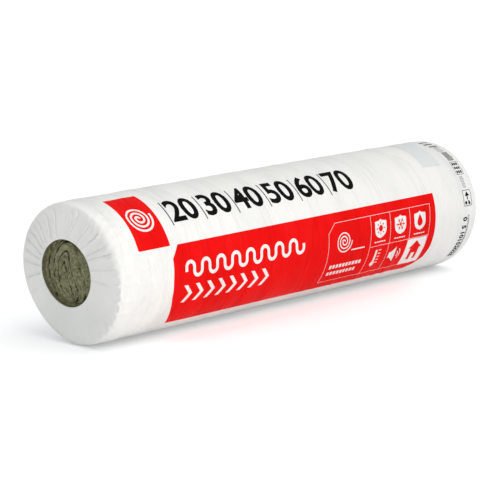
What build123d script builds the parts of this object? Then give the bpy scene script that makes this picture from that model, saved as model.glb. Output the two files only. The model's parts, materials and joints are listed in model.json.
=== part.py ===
from build123d import *
from math import cos, degrees, pi, radians, sin
import os

# A roll of mineral wool mat in its film wrap, lying on its side.
# The roll's axis runs along X, the end with -X faces the viewer, and the floor is Z = 0.
# The origin is on the floor, under the middle of the roll. Lengths are in millimetres.
# Angles round the roll are in degrees: 0 faces -Y, 90 is the top and 180 faces +Y.

# The rolled mat
mat_width = 1200.0          # a mat is sold this wide, and rolled up that is the roll's length
mat_roll_diameter = 308.8
turn_thickness = 19.0       # one turn of a 50 mm mat, squeezed by the winding
fold_height = 66.0          # the mat's first fold, pressed flat in the middle of the roll
first_turn_half_width = 5.0
turn_gap = 1.4              # the seam between one turn and the next
turn_gap_depth = 6.0        # below the sunk face in the opening
turn_steps = 16             # straight steps in each turn of the seam
turn_gap_reach = 8.0        # how far the seam runs on under the film, which hides the rest
core_recess = 14.0          # how far the mat has sunk behind the film's opening
recess_slope = 8.0          # the sunk face's sloping border

# The film wrap
film_wall = 0.6             # two layers of film and the air between them
corner_radius = 13.4        # of the mat, where the film turns over onto the end
corner_steps = 6            # the corner is drawn in straight steps, which need few facets
hidden_corner_steps = 4     # on the inside of the film
opening_diameter = 146.0
ring_width = 6.0            # the flat ring that the roll stands on when it is upended
gather_dip = 2.4            # how far the gathered film dips from the ring to the opening
lip_round = 1.6             # the mat's edge, where the film turns into the opening
lip_steps = 2
lip_depth = 3.5             # how far the film's edge runs into the opening
lap_width = 48.0            # the film's lengthwise overlap, on the side away from the viewer
lap_wall = 0.4
lap_angle = 214.0

# The gathers of the film on each end
pleat_angles = (-1, 12, 28, 36, 48, 62, 79, 92, 106, 118, 131, 139, 147, 156, 165, 177, 190,
                207, 226, 248, 272, 295, 318, 340)
pleat_width = 8.0           # at the opening
pleat_share = 0.8           # of the film's dip, which the pleats fill
pleat_taper = 0.12          # the pleat's outer end over its inner end
pleat_root = 0.3            # of the pleat is sunk in the film that it lies on
far_end_turn = 17.0         # the far end's gathers are turned by this

# The blank label
label_width = 62.0          # along the roll
label_length = 125.0        # round the roll
label_wall = 0.25
label_glue = 0.1            # between the film and the label
label_to_end = 76.0         # from the label's edge to the far end of the mat
label_angle = 72.0          # the middle of the label

half_width = mat_width / 2
mat_radius = mat_roll_diameter / 2
film_radius = mat_radius + film_wall
mat_opening_radius = opening_diameter / 2 + film_wall
corner_x, corner_r = half_width - corner_radius, mat_radius - corner_radius
ring_radius = corner_r - ring_width
dipped_x = half_width - gather_dip
lip_r = mat_opening_radius + lip_round
skirt_x = dipped_x - lip_round - lip_depth
sunk_x = half_width - core_recess
axis_height = film_radius


def steps(x, r, radius, count):
    """A quarter turn from straight out to straight ahead, in straight steps, as x and radius."""
    turns = [radians(90 * k / count) for k in range(count + 1)]
    return [(x + radius * sin(a), r + radius * cos(a)) for a in turns]


def lip(out):
    """The end of a skin that lies this far outside the mat, from the flat ring into the opening."""
    edge = [(x, 2 * lip_r - r) for x, r in steps(dipped_x - lip_round, lip_r, lip_round + out, lip_steps)]
    return [(half_width + out, corner_r), (half_width + out, ring_radius), *reversed(edge),
            (skirt_x, mat_opening_radius - out)]


def mat_end():
    """The skin of the mat at its end, which is also the inside of the film."""
    return [*steps(corner_x, corner_r, corner_radius, hidden_corner_steps), *lip(0)[1:]]


def both_ends(line):
    """The same line at the far end and, mirrored, at the near end."""
    return [line, line.mirror(Plane.YZ)]


def turned(lines):
    """The solid that closed lines sweep out round the roll's axis."""
    return revolve(make_face(lines), axis=Axis.X)


def side(out):
    """The straight side of a skin that lies this far outside the mat."""
    return Line((-corner_x, mat_radius + out), (corner_x, mat_radius + out))


def round_the_roll(angle):
    """Turns what is modelled at angle 0, the side that faces -Y, to its place round the roll."""
    return Rot(X=-angle)


def turn_seam(edge):
    """One edge of the seam between the turns: a spiral that is flat in the middle and round outside."""
    last = mat_opening_radius + turn_gap_reach
    count = int(turn_steps * (last - first_turn_half_width) / turn_thickness)
    points = []
    for k in range(count + 1):
        angle = 2 * pi * k / turn_steps
        half = first_turn_half_width + turn_thickness * k / turn_steps + edge * turn_gap / 2
        stretch = fold_height / 2 * (1 - half / mat_radius)
        points.append((half * cos(angle), (half + stretch) * sin(angle)))
    return points


def turn_seams():
    """The seams between the turns, as the cutters of both ends of the mat."""
    outline = make_face(Polyline(*turn_seam(-1), *reversed(turn_seam(1)), close=True))
    depth = core_recess + turn_gap_depth
    cutter = extrude(Plane.YZ * outline, amount=depth + 1)
    return [Pos(X=half_width - depth) * cutter, Pos(X=-half_width - 1) * cutter]


def mat_roll():
    """The mat, wound up tight, with its turns showing on both ends."""
    end = Polyline(*mat_end(), (sunk_x, mat_opening_radius - recess_slope), (sunk_x, 0))
    body = turned([side(0), *both_ends(end), Line((-sunk_x, 0), (sunk_x, 0))])
    for seam in turn_seams():
        body -= seam
    return body


def film_tube():
    """The film with its drawn-in ends, without the gathers."""
    corner = steps(corner_x, corner_r, corner_radius + film_wall, corner_steps)
    end = Polyline(*corner, *lip(film_wall)[1:], *reversed(mat_end()))
    return turned([side(film_wall), side(0), *both_ends(end)])


def pleat():
    """One pleat of the far end at angle 0: a fold that steps up on one side and runs out on the other."""
    sections = []
    for r, size in ((lip_r, 1.0), (ring_radius, pleat_taper)):
        dip = gather_dip * (ring_radius - r) / (ring_radius - lip_r)
        foot = half_width + film_wall - dip - pleat_root
        rise = max(pleat_share * dip + pleat_root, pleat_root / 2)
        fold = Plane(origin=(foot, -r, 0), x_dir=(1, 0, 0), z_dir=(0, -1, 0))
        sections.append(fold * Polyline((0, 0), (rise, 0), (0, pleat_width * size), close=True))
    return loft([make_face(s) for s in sections], ruled=True)


def film_lap():
    """The film's lengthwise overlap at angle 0, sunk a little in the film that it lies on."""
    strip = Pos(0, -film_radius) * Rectangle(2 * corner_x, 2 * lap_wall)
    arc = degrees(lap_width / film_radius)
    return round_the_roll(-arc / 2) * revolve(strip, axis=Axis.X, revolution_arc=arc)


def wrap_film():
    """The film with its gathers and its overlap."""
    far = [round_the_roll(angle + far_end_turn) * pleat() for angle in pleat_angles]
    near = [round_the_roll(angle) * pleat().mirror(Plane.YZ) for angle in pleat_angles]
    return film_tube() + [*far, *near, round_the_roll(lap_angle) * film_lap()]


def blank_label():
    """The paper label, bent to the film that it is stuck on."""
    middle = half_width - label_to_end - label_width / 2
    strip = Pos(middle, -film_radius - label_glue - label_wall / 2) * Rectangle(label_width, label_wall)
    arc = degrees(label_length / film_radius)
    return round_the_roll(label_angle - arc / 2) * revolve(strip, axis=Axis.X, revolution_arc=arc)


os.makedirs("parts", exist_ok=True)
on_the_floor = Pos(Z=axis_height)
export_step(on_the_floor * mat_roll(), "parts/mat_roll.step")
export_step(on_the_floor * wrap_film(), "parts/wrap_film.step")
export_step(on_the_floor * blank_label(), "parts/blank_label.step")
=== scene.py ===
import json
from math import atan2, cos, degrees, exp, hypot, pi, radians, sin

import bpy
from bpy.props import FloatProperty, FloatVectorProperty, IntProperty, PointerProperty
from mathutils import Matrix, Vector, noise
from mathutils.bvhtree import BVHTree

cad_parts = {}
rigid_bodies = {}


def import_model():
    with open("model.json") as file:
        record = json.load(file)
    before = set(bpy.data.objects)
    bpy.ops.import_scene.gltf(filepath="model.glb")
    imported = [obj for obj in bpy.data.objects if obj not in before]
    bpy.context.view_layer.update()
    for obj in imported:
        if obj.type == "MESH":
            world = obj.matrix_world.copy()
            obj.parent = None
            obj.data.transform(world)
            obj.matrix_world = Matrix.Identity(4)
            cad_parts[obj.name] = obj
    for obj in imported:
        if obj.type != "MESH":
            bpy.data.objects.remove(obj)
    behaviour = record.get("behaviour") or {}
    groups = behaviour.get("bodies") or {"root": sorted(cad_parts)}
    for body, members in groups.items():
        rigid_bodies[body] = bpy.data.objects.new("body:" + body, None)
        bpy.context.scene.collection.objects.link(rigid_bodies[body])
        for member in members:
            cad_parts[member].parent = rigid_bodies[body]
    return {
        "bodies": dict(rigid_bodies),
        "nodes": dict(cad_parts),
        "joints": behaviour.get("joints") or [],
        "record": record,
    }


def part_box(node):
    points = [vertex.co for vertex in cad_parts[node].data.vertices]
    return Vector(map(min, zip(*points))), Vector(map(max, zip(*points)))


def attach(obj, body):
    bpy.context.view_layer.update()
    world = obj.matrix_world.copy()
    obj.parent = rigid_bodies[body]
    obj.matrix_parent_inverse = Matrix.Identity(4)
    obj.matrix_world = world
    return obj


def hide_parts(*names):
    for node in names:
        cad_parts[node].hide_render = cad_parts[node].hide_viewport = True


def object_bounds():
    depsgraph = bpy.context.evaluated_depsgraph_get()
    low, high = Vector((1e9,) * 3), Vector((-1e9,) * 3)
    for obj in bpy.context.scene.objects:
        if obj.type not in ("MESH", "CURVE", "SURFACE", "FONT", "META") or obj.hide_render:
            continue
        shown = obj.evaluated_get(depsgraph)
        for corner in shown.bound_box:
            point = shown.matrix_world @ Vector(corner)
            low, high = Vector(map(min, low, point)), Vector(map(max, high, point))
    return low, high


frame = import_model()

bl_info = {
    "name": "Insulation roll",
    "version": (1, 0, 0),
    "blender": (4, 5, 0),
    "location": "View3D > Sidebar > Insulation roll",
    "description": "Dresses a roll of mineral wool mat in its printed film wrap",
    "category": "Object",
}

CAD_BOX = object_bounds()
FILM_LOW, FILM_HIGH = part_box("wrap_film")
MAT_LOW, MAT_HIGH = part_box("mat_roll")
AXIS = (FILM_LOW[2] + FILM_HIGH[2]) / 2
FILM_RADIUS = (FILM_HIGH[1] - FILM_LOW[1]) / 2
FILM_END = FILM_HIGH[0]
MAT_RADIUS = (MAT_HIGH[1] - MAT_LOW[1]) / 2
MAT_END = MAT_HIGH[0]
PRINT_START = -FILM_END     # the prints are placed from the near end of the film
LIP_ROUND = 0.0016          # radius of the film's turn into the opening
FLAT_RING = 0.006           # width of the flat ring between the film's corner and its dip
SLANT_REACH = 0.16          # how far along the roll the near end's slant runs out
WOOL_SEEN = 0.0715          # radius of the wool that shows in the opening
LAP_STEP = 0.0005           # how far the film's overlap stands out


# Sizes and colours

class RollFilmSettings(bpy.types.PropertyGroup):
    """The film wrap."""
    opening: FloatProperty(name="Opening", description="Radius of the opening that the gathered film leaves",
                           default=0.073, unit="LENGTH")
    corner: FloatProperty(name="Corner", description="Radius of the film's turn from the side onto the end",
                          default=0.022, unit="LENGTH")
    dip: FloatProperty(name="Dip", description="How far the gathers dip from the end's flat ring to the opening",
                       default=0.0024, unit="LENGTH")
    wall: FloatProperty(name="Wall", description="Thickness of the film as drawn", default=0.0006, unit="LENGTH")
    columns: IntProperty(name="Columns", description="Mesh columns round the roll", default=256)
    rings: IntProperty(name="Rings", description="Mesh rings along the straight side", default=118)
    crease: FloatProperty(name="Creases", description="Height of the creases that run round the roll",
                          default=0.0013, unit="LENGTH")
    pleat: FloatProperty(name="Pleats", description="Height of the pleats on the ends", default=0.0019,
                         unit="LENGTH")
    tooth: FloatProperty(name="Teeth", description="How much wider the corner is at its puckers",
                         default=0.014, unit="LENGTH")
    slant: FloatProperty(name="Slant", description="How much further in the foot of the near end lies than its top",
                         default=0.015, unit="LENGTH")
    askew: FloatProperty(name="Askew", description="How much further in the near end lies on the viewer's side",
                         default=0.010, unit="LENGTH")
    lap: FloatProperty(name="Lap", description="Width of the film's lengthwise overlap on the back", default=0.048,
                       unit="LENGTH")
    white: FloatVectorProperty(name="Film", description="Colour of the film", subtype="COLOR",
                               default=(0.925, 0.913, 0.884))


class RollWoolSettings(bpy.types.PropertyGroup):
    """The wound mineral wool mat."""
    pitch: FloatProperty(name="Turn", description="Thickness of one turn of the wound mat", default=0.019,
                         unit="LENGTH")
    fold: FloatProperty(name="Fold", description="Height of the flat fold in the middle of the roll",
                        default=0.066, unit="LENGTH")
    sunk: FloatProperty(name="Sunk", description="How far the mat lies behind its own end", default=0.014,
                        unit="LENGTH")
    crevice: FloatProperty(name="Crevices", description="Depth of the gaps between the turns", default=0.0075,
                           unit="LENGTH")
    clear: FloatProperty(name="Clearance", description="Room between the mat and the film's folds",
                         default=0.0016, unit="LENGTH")
    fibres: IntProperty(name="Fibres", description="Loose fibres per square metre of an end", default=70000)
    light: FloatVectorProperty(name="Fibre tips", description="Colour of the lightest wool", subtype="COLOR",
                               default=(0.475, 0.462, 0.300))
    mid: FloatVectorProperty(name="Wool", description="Colour of the wool", subtype="COLOR",
                             default=(0.292, 0.281, 0.160))
    # The crevice colour is painted shade: the wool is mixed towards it in the gaps between the turns, in pits, in low
    # places and at the opening's rim
    dark: FloatVectorProperty(name="Crevice", description="Colour deep between the turns", subtype="COLOR",
                              default=(0.020, 0.019, 0.008))


class RollPrintSettings(bpy.types.PropertyGroup):
    """The print on the film, and the label."""
    red: FloatVectorProperty(name="Red ink", description="Colour of the red print", subtype="COLOR",
                             default=(0.86, 0.0060, 0.0055))
    black: FloatVectorProperty(name="Black ink", description="Colour of the black print", subtype="COLOR",
                               default=(0.004, 0.004, 0.004))
    white: FloatVectorProperty(name="White print", description="Colour of the white marks on the red",
                               subtype="COLOR", default=(0.90, 0.90, 0.885))
    paper: FloatVectorProperty(name="Label", description="Colour of the blank label", subtype="COLOR",
                               default=(0.775, 0.80, 0.80))
    ink: FloatProperty(name="Ink", description="Thickness of a layer of ink as drawn", default=0.00006,
                       unit="LENGTH")
    scale_step: FloatProperty(name="Scale step", description="Distance between the numbers of the scale",
                              default=0.1, unit="LENGTH")


class RollStageSettings(bpy.types.PropertyGroup):
    """The floor, the lights and the camera."""
    azimuth: FloatProperty(name="Azimuth", description="Direction that the camera looks from",
                           default=radians(-46.0), subtype="ANGLE")
    elevation: FloatProperty(name="Elevation", description="Height of the camera above the horizon",
                             default=radians(11.6), subtype="ANGLE")
    distance: FloatProperty(name="Distance", description="From the camera to the middle of the roll",
                            default=4.94, unit="LENGTH")
    lens: FloatProperty(name="Lens", description="Focal length in millimetres", default=155.4)
    floor: FloatVectorProperty(name="Floor", description="Colour of the floor", subtype="COLOR",
                               default=(0.925, 0.94, 0.95))
    floor_lift: FloatProperty(name="Floor lift", description="What the camera sees more of the floor, so that it "
                              "is white", default=0.26)
    sky: FloatProperty(name="Sky", description="Strength of the even light from all round", default=0.55)
    key: FloatProperty(name="Key light", description="Strength of the soft light from above and in front",
                       default=0.37)
    fill: FloatProperty(name="Fill light", description="Watts of the low lamp before the near half", default=6.0)
    far_fill: FloatProperty(name="Far fill light", description="Watts of the low lamp before the far half",
                            default=0.9)


# Modelling helpers

def nothing_selected():
    """Leaves edit mode and deselects everything."""
    if bpy.context.object and bpy.context.object.mode != "OBJECT":
        bpy.ops.object.mode_set(mode="OBJECT")
    bpy.ops.object.select_all(action="DESELECT")


def only(piece):
    """Selects this piece alone and makes it active."""
    nothing_selected()
    piece.select_set(True)
    bpy.context.view_layer.objects.active = piece


def edit_all():
    """Enters edit mode with everything selected."""
    bpy.ops.object.mode_set(mode="EDIT")
    bpy.ops.mesh.select_all(action="SELECT")


def edit_some(piece, parts, chosen):
    """Enters edit mode with only some of the active piece's vertices or polygons selected, given by number."""
    bpy.ops.object.mode_set(mode="EDIT")
    bpy.ops.mesh.select_all(action="DESELECT")
    edit_done()
    for index in chosen:
        getattr(piece.data, parts)[index].select = True
    bpy.ops.object.mode_set(mode="EDIT")


def edit_done():
    """Leaves edit mode."""
    bpy.ops.object.mode_set(mode="OBJECT")


def new_point():
    """A new piece in edit mode that is one point, at the origin."""
    nothing_selected()
    bpy.ops.mesh.primitive_plane_add(size=0.0001, location=(0, 0, 0))
    bpy.ops.object.mode_set(mode="EDIT")
    bpy.ops.mesh.merge(type="CENTER")
    return bpy.context.object


def extrude_by(step):
    """Extrudes what is selected."""
    bpy.ops.mesh.extrude_region_move(TRANSFORM_OT_translate={"value": step})


def point_drawn_through(places):
    """A new piece in edit mode that is one point, extruded from each place to the next."""
    piece = new_point()
    bpy.ops.transform.translate(value=places[0])
    for place, following in zip(places, places[1:]):
        extrude_by(tuple(b - a for a, b in zip(place, following)))
    bpy.ops.mesh.select_all(action="SELECT")
    return piece


def turned_chain(name, chain, columns):
    """A surface that a chain of points, as x and radius, sweeps out round the roll's axis."""
    piece = point_drawn_through([(x, -r, AXIS) for x, r in chain])
    piece.name = name
    bpy.ops.mesh.spin(steps=columns, angle=2 * pi, center=(0, 0, AXIS), axis=(1, 0, 0))
    bpy.ops.mesh.select_all(action="SELECT")
    bpy.ops.mesh.remove_doubles(threshold=0.000005)
    bpy.ops.mesh.normals_make_consistent(inside=False)
    edit_done()
    return piece


def with_modifier(piece, kind, **values):
    """Adds a modifier, sets it and applies it."""
    only(piece)
    bpy.ops.object.modifier_add(type=kind)
    modifier = piece.modifiers[-1]
    for key, value in values.items():
        setattr(modifier, key, value)
    bpy.ops.object.modifier_apply(modifier=modifier.name)


def smooth(piece, angle=40):
    """Shades the piece smooth, except across edges sharper than this angle in degrees."""
    only(piece)
    bpy.ops.object.shade_smooth_by_angle(angle=radians(angle))


def placed(piece):
    """Puts the piece's place into its mesh."""
    only(piece)
    bpy.ops.object.transform_apply(location=True, rotation=True, scale=True)


def round_angle(point):
    """Degrees round the roll: 0 faces the viewer's side, 90 is the top and 180 is the back."""
    return degrees(atan2(point[2] - AXIS, -point[1]))


def off_by(angle, centre):
    """How far one angle is from another, from -180 to 180 degrees."""
    return (angle - centre + 180) % 360 - 180


def bump(value, width):
    """A smooth hill of height 1 at 0."""
    return exp(-(value / width) ** 2)


def ease(value, low, high):
    """0 below low, 1 above high and smooth between."""
    t = min(max((value - low) / (high - low), 0), 1)
    return t * t * (3 - 2 * t)


# The film wrap

# The pleats of the near end: angle at the rim, angle at the opening, outer and inner radius as shares of
# the roll's radius, and strength.
PLEATS = (
    (106, 107, 0.90, 0.50, 1.0), (118, 119, 0.91, 0.50, 1.0), (132, 133, 0.92, 0.50, 1.0),
    (139, 139, 0.92, 0.50, 0.8), (147, 146, 0.92, 0.50, 1.0), (155, 157, 0.92, 0.50, 1.0),
    (165, 166, 0.92, 0.50, 0.9), (176, 176, 0.92, 0.50, 0.8), (191, 189, 0.92, 0.50, 0.8),
    (92, 92, 0.88, 0.70, 0.6), (75, 80, 0.90, 0.50, 0.9), (82, 84, 0.86, 0.50, 0.7),
    (59, 63, 0.90, 0.50, 1.0), (47, 50, 0.91, 0.50, 1.0), (35, 35, 0.90, 0.50, 0.9),
    (26, 29, 0.92, 0.50, 1.0), (13, 12, 0.92, 0.50, 0.9), (-2, -3, 0.74, 0.50, 0.6),
    (206, 206, 0.86, 0.72, 0.4),
)
# The puckers of the rim: angle, width in degrees and strength.
RIM_PUCKERS = (
    (62, 2.2, 0.6), (54, 1.8, 0.9), (46, 2.2, 1.0), (38, 1.6, 0.8), (31, 2.2, 1.0), (22, 1.8, 0.9), (14, 2.4, 1.0),
    (7, 1.6, 0.7), (-1, 2.0, 1.0), (-9, 1.8, 0.6), (-16, 2.4, 1.0), (-26, 1.8, 0.9), (-34, 2.0, 0.6),
    (-41, 2.2, 0.9), (-52, 2.0, 0.4),
)
FAR_TURN = 17.0
LAP_ANGLE = 214.0


def edge_radius(turned, side, pucker, film):
    """Radius of the film's turn onto the end: even at the far end, and tight at the near end's lower right."""
    if side > 0:
        return 1.15 * film.corner + 0.4 * film.tooth * (pucker - 0.35)
    left = ease(-cos(radians(turned)), -0.1, 0.6)
    return (0.7 * film.corner + 0.004 * left + 0.009 * bump(off_by(turned, 232), 36)
            - 0.007 * bump(off_by(turned, -16), 30) + 0.006 * bump(off_by(turned, 30), 24)
            + film.tooth * (pucker - 0.35))


def opening_shift(r, turned, film):
    """How far the near opening lies to the back, and is drawn out there, less and less towards the rim."""
    drawn = 0.005 * bump(off_by(turned, 180), 52) * ease(r, 0.045, 0.073)
    return (0.0145 + drawn) * (1 - ease(r, 0.078, FILM_RADIUS - film.corner))


def slant_in(x, y, z, film):
    """How far a point near the near end is moved in, because that end isn't quite square."""
    low, front = 1 - z / (2 * FILM_RADIUS), 0.5 - y / (2 * FILM_RADIUS)
    return (film.slant * low + film.askew * front) * ease(-x, FILM_END - SLANT_REACH, FILM_END)


def film_chain(film):
    """The film's outside from the near opening over the side to the far one, as x and radius."""
    end, corner = FILM_END, film.corner
    ring = FILM_RADIUS - corner
    lip = film.opening + LIP_ROUND
    chain = [(end - film.dip - LIP_ROUND - 0.001, film.opening + 0.0004)]
    chain += [(end - film.dip - LIP_ROUND * (1 - sin(a)), lip - LIP_ROUND * cos(a))
              for a in (radians(30 * k) for k in range(4))]
    steps = 20
    for k in range(1, steps + 1):
        r = lip + (ring - lip) * k / steps
        chain.append((end - film.dip * ease(ring - FLAT_RING - r, 0, ring - FLAT_RING - lip), r))
    chain += [(end - corner + corner * cos(a), ring + corner * sin(a))
              for a in (radians(90 * k / 10) for k in range(1, 11))]
    near = [(-x, r) for x, r in chain]
    side = end - corner
    middle = [(-side + 2 * side * k / film.rings, FILM_RADIUS) for k in range(1, film.rings)]
    return near + middle + chain[::-1]


def crease_list():
    """The long creases round the roll, as place, slant, middle angle, reach, width and strength."""
    creases, count, margin = [], 64, 0.03
    for k in range(count):
        n = [noise.random() for _ in range(6)]
        x = -FILM_END + margin + (2 * FILM_END - 2 * margin) * (k + 0.7 * n[0]) / count
        far = ease(x, -0.25, 0.25)
        creases.append((x, 0.0002 * (n[1] - 0.35), -60 + 360 * n[2], 40 + 70 * n[3], 0.006 + 0.009 * n[4],
                        (0.35 + 0.65 * far) * (0.4 + 0.6 * n[5])))
    return creases


def side_rise(x, angle, point, creases, film):
    """How far the film stands out of the roll at a place on its side."""
    rise = 0.0007 * noise.noise(point * 4.5)
    for place, slant, middle, reach, width, strength in creases:
        if abs(x - place) > 0.07:
            continue
        off = off_by(angle, middle)
        if abs(off) > 1.6 * reach:
            continue
        across = (x - place - slant * off) / width
        fold = exp(-across * across) - 0.5 * exp(-(across - 1.2) ** 2)
        rise += film.crease * strength * bump(off, reach) * fold
    near = 1 - ease(x, -0.52, -0.22)
    slanted = Vector((point[0] * 26 + point[2] * 20, point[1] * 12, point[2] * 22))
    return rise + 0.0011 * (0.2 + 0.8 * near) * noise.noise(slanted)


def shaped_film(piece, film):
    """Moves the film's points into its creases, pleats and puckers, and keeps how much shade is painted at each
    point: along the pleats of the ends and along the edge of the lengthwise lap.
    """
    noise.seed_set(7)
    creases = crease_list()
    step = 360 / film.columns
    # pleat_shade holds painted shade: a dark line along each pleat's fold, soft darker bands beside some of them, and
    # a line along the lap's edge
    deep = piece.data.attributes.new("pleat_shade", "FLOAT", "POINT")
    ring, lip = FILM_RADIUS - film.corner, film.opening + LIP_ROUND
    for vertex in piece.data.vertices:
        x, y, z = vertex.co
        angle, r = round_angle(vertex.co), hypot(y, z - AXIS)
        share = r / FILM_RADIUS
        side = -1 if x < 0 else 1
        turned = angle if side < 0 else angle - FAR_TURN
        column = round(turned / step)
        on_end = FILM_END - abs(x) < film.corner * 0.5
        out, shade, shift = 0.0, 0.0, 0.0
        pucker = max(strength * bump(off_by(turned, step * round(place / step)), 0.7 * width)
                     for place, width, strength in RIM_PUCKERS)
        pucker = max(pucker, 0.45 * ease(abs(off_by(turned, 20)), 75, 100)
                     * (0.5 + 0.5 * noise.noise(Vector((side, cos(radians(angle)) * 9, sin(radians(angle)) * 9)))))
        if on_end:
            for rim, inner, high, low, strength in PLEATS:
                along = (share - low) / (high - low)
                line = inner + (rim - inner) * min(max(along, 0), 1)
                off = off_by(turned, line)
                if abs(off) > 14:
                    continue
                reach = ease(share, low - 0.04, low + 0.02) * (1 - ease(share, high - 0.10, high + 0.03))
                nearest = round(line / step)
                rank = (column - nearest + film.columns // 2) % film.columns - film.columns // 2
                soft = ease(turned % 360, 85, 120)
                if rank == 0:
                    shift = off_by(line, turned) * reach
                    out -= 0.45 * film.pleat * strength * reach
                    worn = 0.75 + 0.5 * noise.noise(Vector((line, share * 7, side)))
                    shade = max(shade, strength * reach * worn)
                elif rank == 1:
                    shift = off_by(line + 0.45 * step, turned) * reach
                    out += film.pleat * strength * reach
                    shade = max(shade, 0.25 * strength * reach)
                elif rank > 1:
                    out += film.pleat * strength * reach * bump(off, 6.0)
                else:
                    out += 0.4 * film.pleat * strength * reach * bump(off, 3.0) * (1 if rank < -1 else 0.3)
                    shade = max(shade, strength * reach * soft * (0.5, 0.3, 0.12)[min(-1 - rank, 2)])
            out = min(out, 1.3 * film.pleat) * (1 - ease(share, 0.84, 0.93))
            out += (0.0038 if side < 0 else 0.0018) * pucker * ease(share, 0.76, 0.95)
            out += 0.00030 * noise.noise(Vector((side * 3, y * 30, z * 30)))
        local = edge_radius(turned, side, pucker, film)
        if FILM_END - abs(x) <= film.corner + 0.0001:
            if r > ring + 0.0001:
                a = atan2(r - ring, abs(x) - FILM_END + film.corner)
                new_x = FILM_END - local + local * cos(a)
                r = FILM_RADIUS - local + local * sin(a)
                out += (new_x - abs(x)) + 0.0018 * pucker * sin(2 * a)
            elif r > lip:
                r = lip + (r - lip) * (FILM_RADIUS - local - lip) / (ring - lip)
        else:
            start = FILM_END - abs(x) - film.corner
            out -= max(local - film.corner, 0) * (1 - ease(start, 0, 0.04))
            lap = radians(abs(off_by(angle, LAP_ANGLE))) * FILM_RADIUS - film.lap / 2
            r += LAP_STEP * (1 - ease(lap, 0, radians(step) * FILM_RADIUS)) * ease(start, 0, 0.02)
            # Painted shade along the edge of the film's lengthwise lap
            shade = 0.5 * bump(lap, 0.0028) * ease(start, 0, 0.02)
        rise = side_rise(x, angle, vertex.co, creases, film) * ease(share, 0.90, 0.99)
        tail = (1 - ease(FILM_END - abs(x), film.corner * 0.3, 0.055)) * ease(share, 0.95, 1)
        rise += 0.0016 * (2 * pucker - 1) * tail
        new_angle = radians(angle + shift)
        r += rise
        vertex.co = Vector((x + side * out, -r * cos(new_angle), AXIS + r * sin(new_angle)))
        vertex.co.x += slant_in(*vertex.co, film)
        if side < 0:
            vertex.co.y += opening_shift(r, turned, film)
        deep.data[vertex.index].value = shade


# The wound mat

def turn_place(y, z, wool):
    """Which turn of the wound mat a place on its end lies in, counted from the middle."""
    h = hypot(y, z)
    for _ in range(8):
        stretch = wool.fold / 2 * max(1 - h / MAT_RADIUS, 0)
        h = hypot(y, z * h / (h + stretch + 1e-9))
    around = atan2(z * h / (h + stretch + 1e-9), y) / (2 * pi)
    return (h - 0.005) / wool.pitch - around


def mat_chain(wool):
    """The mat's skin from the middle of the near end to the middle of the far one, as x and radius."""
    end, radius, rings, corner = MAT_END, MAT_RADIUS - wool.clear, 84, 0.044
    sunk, dipped = end - wool.sunk, end - 0.0024 - wool.clear
    chain = [(sunk, 0.0716 * k / rings) for k in range(rings + 1)]
    chain += [(sunk + rise, r) for rise, r in ((0.0025, 0.0728), (0.0055, 0.0736), (0.0085, 0.0742))]
    chain += [(dipped - 0.0006, 0.0752), (dipped, 0.0775)]
    chain += [(dipped, 0.090), (end - wool.clear, radius - corner)]
    chain += [(end - wool.clear - corner * (1 - cos(a)), radius - corner * (1 - sin(a)))
              for a in (radians(22.5 * k) for k in range(1, 5))]
    return [(-x, r) for x, r in chain] + chain[::-1]


def shaped_wool(piece, wool, film):
    """Moves the ends' points into turns, layers and crevices, and keeps how much shade is painted on each point."""
    noise.seed_set(11)
    # The crevice attribute holds how much shade is painted on each point
    depth = piece.data.attributes.new("crevice", "FLOAT", "POINT")
    for vertex in piece.data.vertices:
        x, y, z = vertex.co
        side = -1 if x < 0 else 1
        z -= AXIS
        r = hypot(y, z)
        turned = degrees(atan2(z, -y))
        if side < 0:
            vertex.co.y += opening_shift(r, turned, film)
        vertex.co.x += slant_in(x, y, vertex.co.z, film)
        if r > 0.0725 or abs(x) > MAT_END - wool.sunk + 0.001:
            # Painted shade on the wall of the recess just inside the film's lip, fading out under the film
            depth.data[vertex.index].value = 0.6 * (1 - ease(r, 0.0728, 0.0765))
            continue
        u = y * side
        seed = Vector((side * 5.0, 0, 0))
        place = Vector((0, u, z))
        off_centre = 1 - ease(r, 0, 0.085)
        turn = turn_place(y + side * 0.027 * off_centre + 0.0016 * noise.noise(place * 60 + seed),
                          z + 0.026 * off_centre + 0.0014 * noise.noise(place * 75 - seed), wool)
        seam = abs(turn - round(turn)) * wool.pitch
        layer = abs(3 * turn - round(3 * turn)) * wool.pitch / 3
        loose = 1 - 0.68 * ease(u, -0.012, 0.018) * ease(z, -0.062, -0.040)
        torn = bump(hypot((u + 0.020) / 0.026, (z - 0.036) / 0.024), 1.0)
        gap = ease(noise.noise(place * 44 + seed * 3), -0.20, 0.25)
        dip = loose * (0.25 + 0.75 * gap + 0.5 * torn) * bump(seam, 0.0011 + 0.0011 * gap)
        split = ease(noise.noise(place * 48 - seed * 2), 0.0, 0.35)
        dip = max(dip, 0.8 * loose * split * bump(layer, 0.00085))
        tongue = bump(hypot((u + 0.024) / 0.0060, (z + 0.020) / 0.024), 0.9)
        dip *= 1 - 0.8 * tongue
        lumps = 0.0012 * noise.fractal(place * 95 + seed, 0.9, 2.1, 3)
        streak = 0.0006 * noise.noise(Vector((0, u * 360, z * 160)) + seed)
        speck = ease(noise.noise(place * 290 + seed * 2), 0.30, 0.62) * (1.15 - loose)
        rim = ease(r, 0.055, WOOL_SEEN)
        out = lumps + streak - wool.crevice * dip - 0.0016 * speck + 0.0030 * tongue - 0.0030 * rim
        hold = 1 - ease(r, 0.0700, 0.0725)
        vertex.co.x += side * out * hold
        # Painted shade: dark in the crevices, splits and pits, darker towards the rim of the opening and in low
        # places, lighter on the lumps
        shade = 1.9 * dip + 0.95 * speck + 0.22 * rim - 75 * (lumps + streak)
        depth.data[vertex.index].value = min(max(shade, 0), 0.95)


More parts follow.
